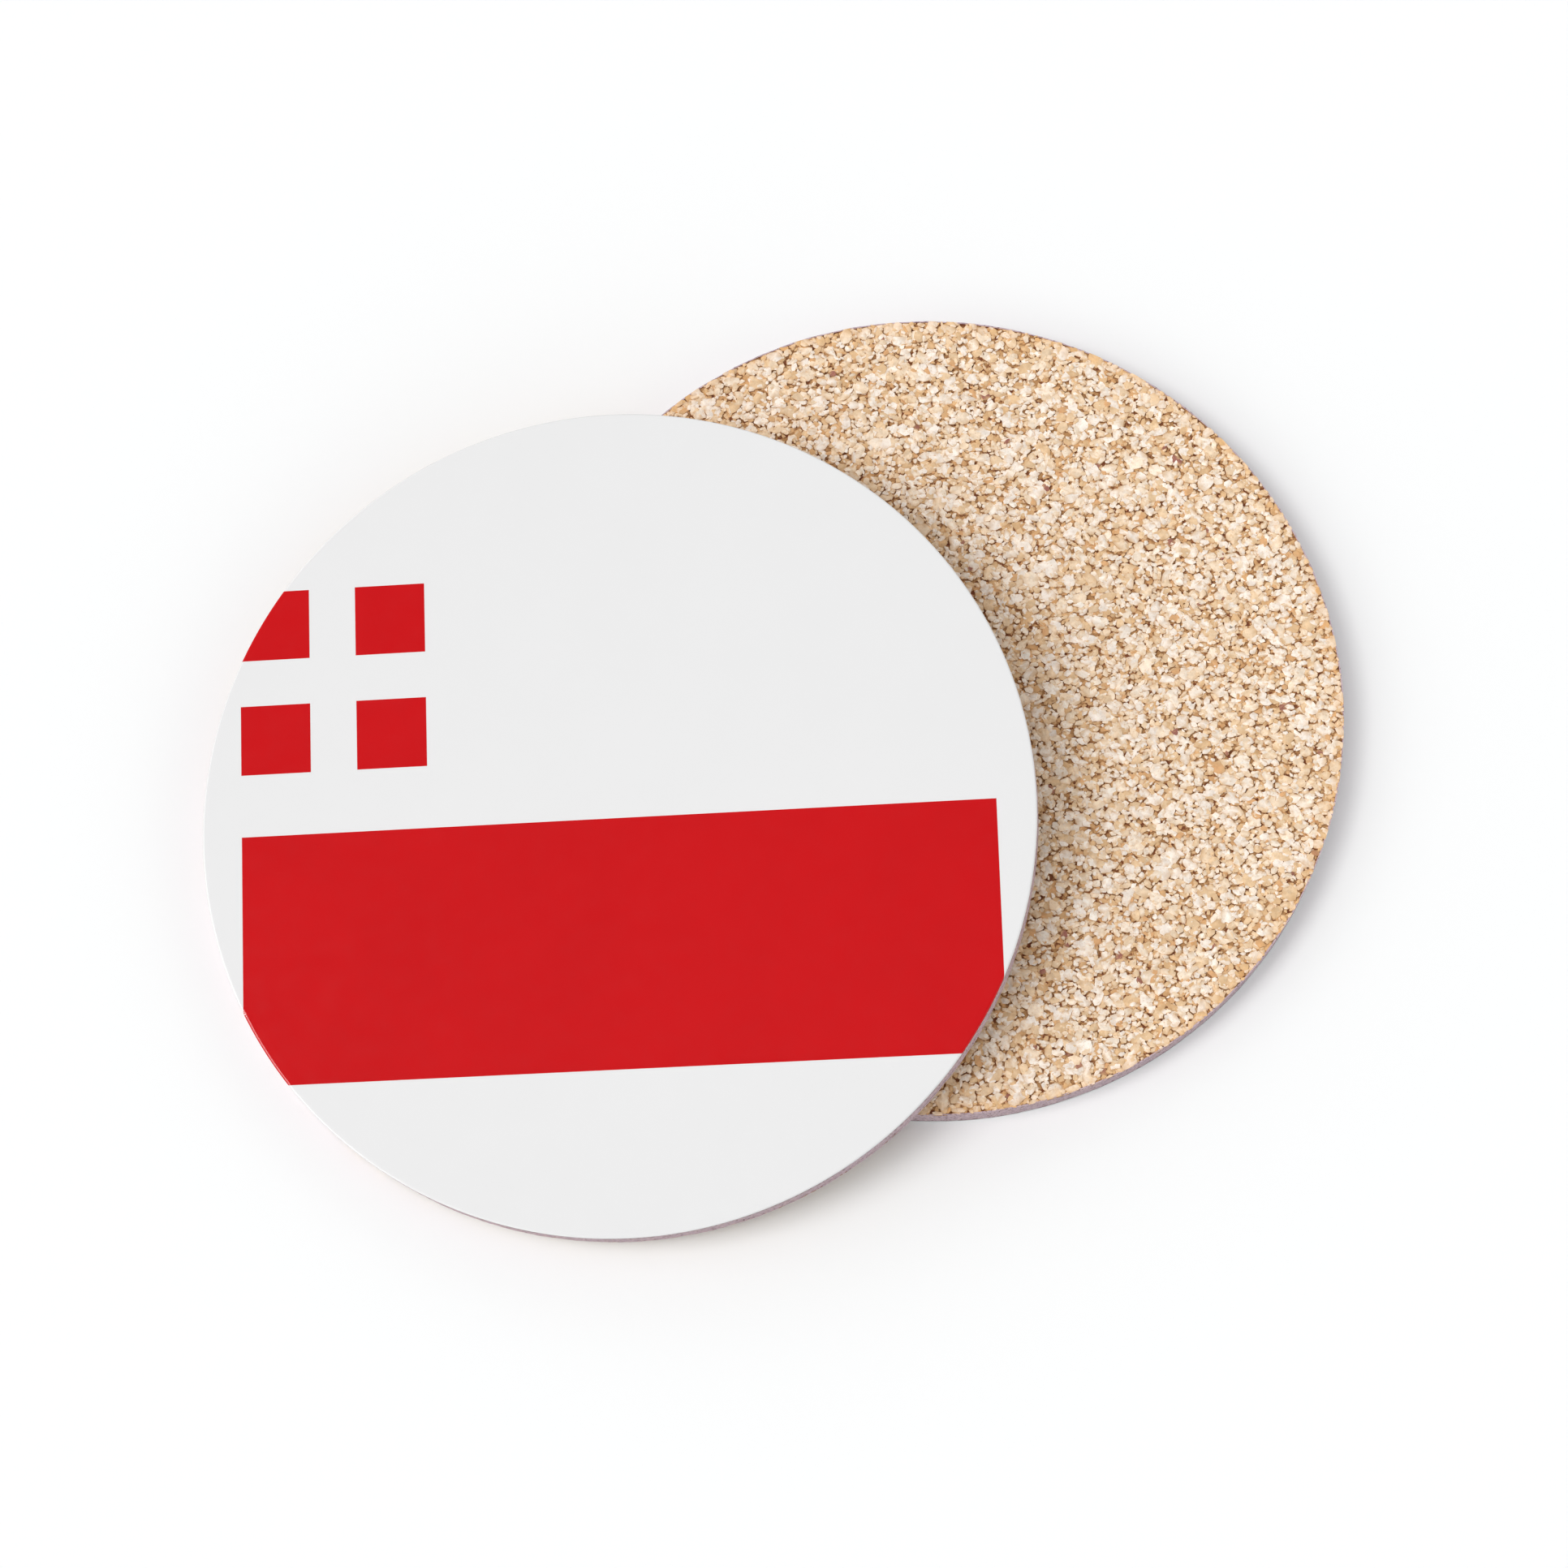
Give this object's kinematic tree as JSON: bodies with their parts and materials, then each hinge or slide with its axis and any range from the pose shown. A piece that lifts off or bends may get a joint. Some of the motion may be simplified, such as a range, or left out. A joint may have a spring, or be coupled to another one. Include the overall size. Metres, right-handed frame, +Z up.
{
  "type": "drink coaster",
  "caption": "Round cork-backed drink coasters with a gloss printed face: one lies cork side up, the other shows its face and leans on its rim.",
  "frame": {"origin": "middle of the lower coaster's face, which lies on the table", "axes": "+Z up, away from the table; +X to the right and +Y to the back as the pair is seen; the upper coaster lies towards -X and rises towards +X"},
  "size_m": [0.1306, 0.1093, 0.0143],
  "materials": {
    "cork": "agglomerated cork, pale angular granules with brown gaps, matt",
    "glue": "dried adhesive film, dull",
    "board": "hardboard, fine pressed fibre, cut edge, matt",
    "coat": "white polyester coat, smooth and glossy",
    "print": "coat dyed red, smooth and glossy"
  },
  "bodies": {
    "lower_coaster": {"lower_cork": "cork", "lower_glue": "glue", "lower_board": "board", "lower_coat": "coat", "lower_stripe": "print", "lower_square_top_left": "print", "lower_square_top_right": "print", "lower_square_bottom_left": "print", "lower_square_bottom_right": "print"},
    "upper_coaster": {"upper_cork": "cork", "upper_glue": "glue", "upper_board": "board", "upper_coat": "coat", "upper_stripe": "print", "upper_square_top_left": "print", "upper_square_top_right": "print", "upper_square_bottom_left": "print", "upper_square_bottom_right": "print"}
  },
  "joints": [
    {"name": "upper_lift", "type": "slide", "parent": "lower_coaster", "child": "upper_coaster", "axis": [0, 0, 1], "range_m": [0, 0.06]}
  ]
}
